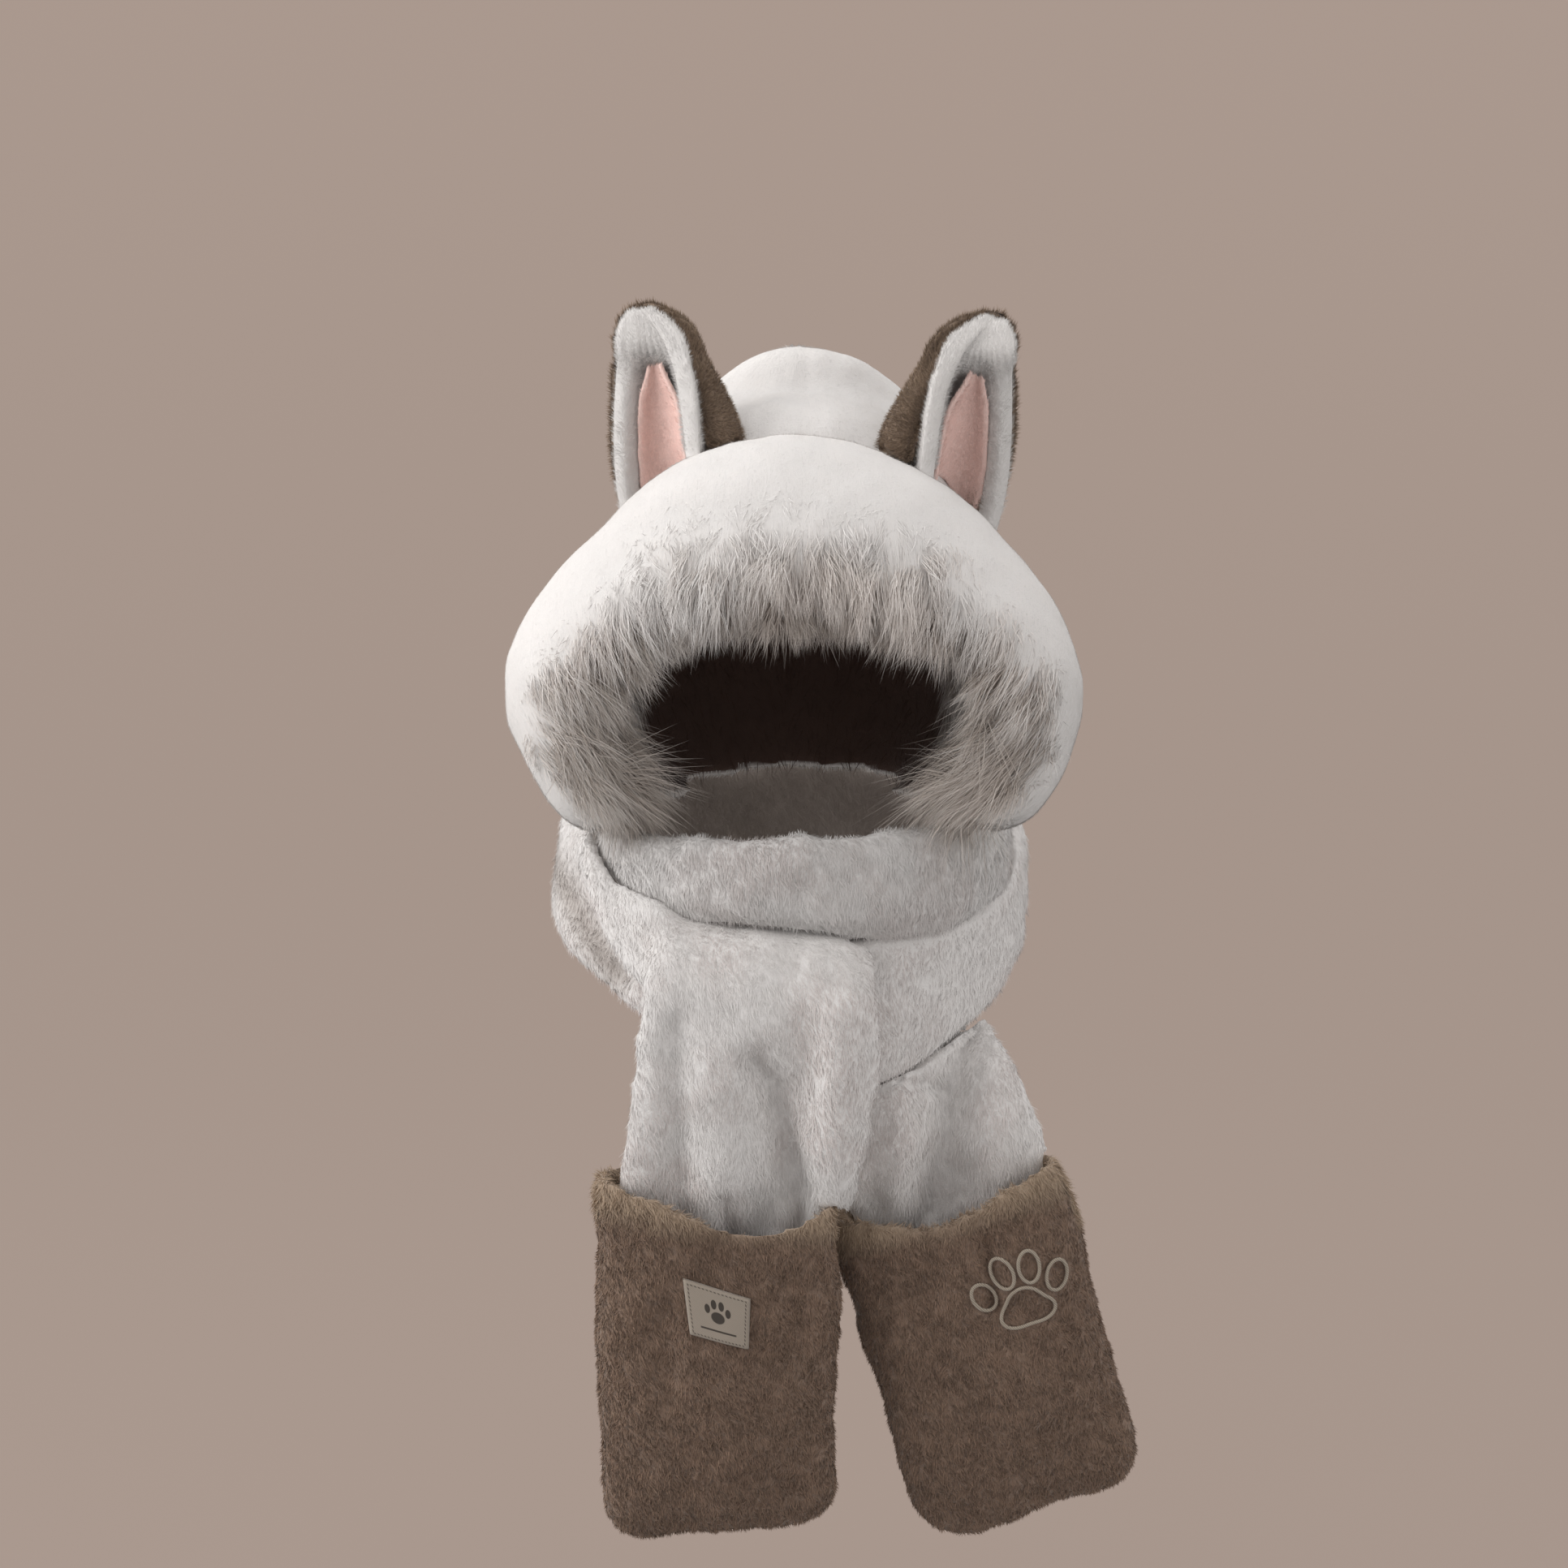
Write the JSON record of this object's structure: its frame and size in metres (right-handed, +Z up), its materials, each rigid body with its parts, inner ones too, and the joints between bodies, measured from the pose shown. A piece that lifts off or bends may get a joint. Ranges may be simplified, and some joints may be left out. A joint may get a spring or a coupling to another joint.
{
  "type": "animal hood scarf",
  "caption": "Plush winter hood with long-pile brim and upright animal ears, joined to a scarf that turns round the neck and ends in open hand pockets.",
  "frame": {"origin": "where the top of the head meets the inside of the crown", "axes": "+Z up along the neck, -Y out through the face opening, +X to the right of someone who faces the hood"},
  "size_m": [0.4246, 0.3351, 0.8301],
  "materials": {
    "white_plush": "short dense plush pile, off-white",
    "frosted_fur": "long soft pile, taupe at the roots and white at the tips",
    "brown_plush": "short streaked plush pile, grey-brown",
    "ear_brown_plush": "short plush pile, olive-brown",
    "pink_plush": "very short plush, dusty pink",
    "label_tape": "plain woven tape, cream"
  },
  "bodies": {
    "root": {"hood_shell": "white_plush", "fur_brim": "frosted_fur", "face_fringe": "frosted_fur", "ear_back_left": "ear_brown_plush", "ear_lining_left": "white_plush", "ear_inset_left": "pink_plush", "ear_back_right": "ear_brown_plush", "ear_lining_right": "white_plush", "ear_inset_right": "pink_plush", "chin_band": "white_plush", "neck_loop": "white_plush", "side_fold": "white_plush", "front_panel": "white_plush", "side_panel": "white_plush", "front_pocket": "brown_plush", "side_pocket": "brown_plush", "pocket_label": "label_tape"}
  },
  "joints": []
}
